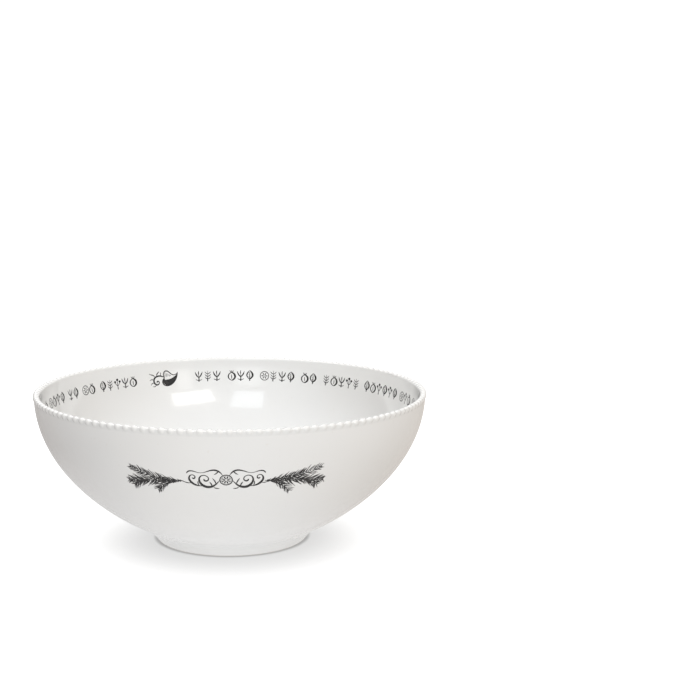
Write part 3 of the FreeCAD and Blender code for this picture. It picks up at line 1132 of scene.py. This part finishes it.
# %% [markdown]
# ## The studio
# A white bowl on white is drawn by its edges, so they need something dark to mirror, while the ground stays
# pure white. A studio gets both by setting its exposure for the bowl and letting the paper under and behind
# it burn out. Here it is painted instead: to the camera, the paper and the wall are burnt out to white,
# except for a painted soft shadow at the foot. To the bowl, the paper glows with painted light, bright near
# the bowl and falling off into the dark, darker to the left and warm to the right. The studio round it has a
# dark left side, a warm wall to the right, and more light in front, behind and overhead.

# %% Paper
PAPER_WHITE = (0.30, 0.30, 0.30, 1)
# Painted shadow: the paper glows white to the camera, dimmer round the foot and darkest in a thin line under
# it.
PAINTED_CONTACT_SHADOW = (0.24, 0.24, 0.24, 1)
PAINTED_FOOT_SHADOW = (0.54, 0.54, 0.54, 1)
SEEN_AWAY = (1.00, 1.00, 1.00, 1)
SHADOW_FORWARD = 0.012  # the painted shadow's middle lies this far in front of the axis, as if the light came from a little behind
SHADOW_REACH = (0.062, 0.168)  # this far from its middle it is full, and gone
CONTACT_REACH = (0.0735, 0.0690)  # this far from the axis the painted dark contact line at the foot is gone, and full
# Painted light: what the bowl sees is the paper glowing, as a stand-in for the light that paper would
# bounce.
LIT_NEAR = (0.62, 0.62, 0.62, 1)
LIT_FAR = (0.10, 0.10, 0.10, 1)
LIT_LEFT = (0.175, 0.155, 0.145, 1)
LIT_RIGHT = (0.34, 0.30, 0.26, 1)  # a painted warm bounce, the colour of the warm wall there
LIT_REACH = (0.15, 0.90)  # distances from the bowl where the paper's painted glow is brightest and darkest
LEFT_REACH = (0.0, -0.35)  # how far to the left, and to the right, the painted dark and warm tints take to be full
RIGHT_REACH = (0.0, 0.25)
PAPER_RADIUS = 9
PAPER_SIDES = 96
PAPER_ROUGHNESS = 0.9
PAPER_IOR = 1.2


def lay_paper():
    """A wide glowing disc, with one brightness for the camera, white with a painted shadow at the foot, and
    another for the bowl, which is painted light.
    """
    start_clean()
    bpy.ops.mesh.primitive_circle_add(vertices=PAPER_SIDES, radius=PAPER_RADIUS, fill_type="NGON")
    paper = bpy.context.object
    paper.name = "paper"
    white = Finish("paper_white")
    place = white.place()
    nearer = white.node("ShaderNodeVectorMath", None, {0: place, 1: (0, SHADOW_FORWARD, 0)})
    distance = white.length(place)
    right = white.part(place, 0)
    # painted shadow for the camera: a soft dark round the foot, and a dark contact line under it
    seen = white.blend(white.length(nearer).between(*SHADOW_REACH), PAINTED_FOOT_SHADOW, SEEN_AWAY)
    seen = white.blend(distance.between(*CONTACT_REACH), seen, PAINTED_CONTACT_SHADOW)
    # painted light for the bowl: brighter near it, dark far off, darker to the left and warm to the right
    lit = white.blend(distance.between(*LIT_REACH), LIT_NEAR, LIT_FAR)
    lit = white.blend(right.between(*LEFT_REACH), lit, LIT_LEFT)
    lit = white.blend(right.between(*RIGHT_REACH), lit, LIT_RIGHT)
    camera_ray = white.node("ShaderNodeLightPath")
    glow = white.blend(camera_ray, lit, seen)
    white.set({"Base Color": PAPER_WHITE, "Roughness": PAPER_ROUGHNESS, "IOR": PAPER_IOR})
    white.set({"Emission Color": glow, "Emission Strength": 1.0})
    paper.data.materials.append(white.material)
    paper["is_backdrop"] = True


lay_paper()

# %% Studio walls
STUDIO_LEFT = (0.05, 0.03, 0.02, 1)
STUDIO_RIGHT = (0.32, 0.28, 0.25, 1)
STUDIO_FRONT = (0.97, 0.96, 0.94, 1)
STUDIO_BACK = (0.90, 0.90, 0.90, 1)
STUDIO_TOP = (1.03, 1.03, 1.03, 1)
STUDIO_SEEN = (1.1, 1.1, 1.1, 1)  # the plain white wall that the camera sees

# Where each wall starts and is full, on the parts of a direction: right, back and up, from -1 to 1.
LEFT_TO_RIGHT = (-0.6, 0.8)
TO_FRONT = (-0.2, -0.95)
TO_BACK = (0.55, 0.90)
BACK_RISES = (0.02, 0.10)
TO_TOP = (0.25, 0.95)


class Studio(Finish):
    """The light from all round, made with the same helpers as a finish."""

    def __init__(self):
        world = bpy.data.worlds.new("studio")
        bpy.context.scene.world = world
        world.use_nodes = True
        self.tree = world.node_tree
        self.shader = self.tree.nodes["Background"]


def light_studio():
    """The walls and the ceiling, blended into each other by direction."""
    studio = Studio()
    direction = studio.node("ShaderNodeTexCoord")
    right, back, up = [studio.part(direction, axis) for axis in range(3)]
    walls = studio.blend(right.between(*LEFT_TO_RIGHT), STUDIO_LEFT, STUDIO_RIGHT)
    walls = studio.blend(back.between(*TO_FRONT), walls, STUDIO_FRONT)
    walls = studio.blend(back.between(*TO_BACK) * up.between(*BACK_RISES), walls, STUDIO_BACK)
    walls = studio.blend(up.between(*TO_TOP), walls, STUDIO_TOP)
    camera_ray = studio.node("ShaderNodeLightPath")
    studio.set({"Color": studio.blend(camera_ray, walls, STUDIO_SEEN)})
    bpy.context.scene.view_settings.view_transform = "Standard"


light_studio()

# %% [markdown]
# ## Soft boxes
# Overhead, one soft box fills the bowl. Two more stand at the front, where the polished inside of the far
# wall mirrors them as two bright panes. A paler panel under each is mirrored as a shaft of light up to the
# lip.

# %% Soft boxes
SOFT_BOX_DISTANCE = 2.6
# Each one's bearing from +X and rise over the horizon in degrees, its width and height in metres, how much
# it glows, and its colour.
SOFT_BOXES = {
    "overhead": (150, 72, 2.0, 1.8, 1.1, (1, 1, 1)),
    "pane_right": (-58, 38, 1.15, 0.60, 3.6, (1.0, 0.97, 0.93)),
    "pane_left": (-101, 42, 0.85, 0.80, 2.0, (0.86, 0.93, 1.0)),
    "panel_right": (-55, 16, 0.45, 1.10, 1.1, (1.0, 0.98, 0.96)),
    "panel_left": (-100, 14, 0.80, 1.15, 0.9, (0.94, 0.98, 1.0)),
}


def soft_box(name, bearing, rise, width, height, glow, colour):
    """A rectangle of light that faces the bowl."""
    turn, climb = math.radians(bearing), math.radians(rise)
    level = math.cos(climb)
    direction = Vector((level * math.cos(turn), level * math.sin(turn), math.sin(climb)))
    start_clean()
    bpy.ops.object.light_add(type="AREA", location=direction * SOFT_BOX_DISTANCE)
    light = bpy.context.object
    light.name = name
    light.rotation_euler = (-direction).to_track_quat("-Z", "Y").to_euler()
    light.data.shape = "RECTANGLE"
    light.data.size = width
    light.data.size_y = height
    light.data.energy = glow * math.pi * width * height
    light.data.color = colour
    light.visible_camera = False
    print(f"{name}: {light.data.energy:.1f} W")


for name, settings in SOFT_BOXES.items():
    soft_box(name, *settings)

# %% [markdown]
# ## Finish
# The finished bowl must not grow past the construction model's box, so both boxes are printed, in
# millimetres.

# %% Print both boxes
visual_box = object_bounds()
boxes = {"cad": [list(corner) for corner in cad_box], "visual": [list(corner) for corner in visual_box]}
for name, (low, high) in boxes.items():
    print(name, "box", [round((top - bottom) / MM, 2) for bottom, top in zip(low, high)], "mm")
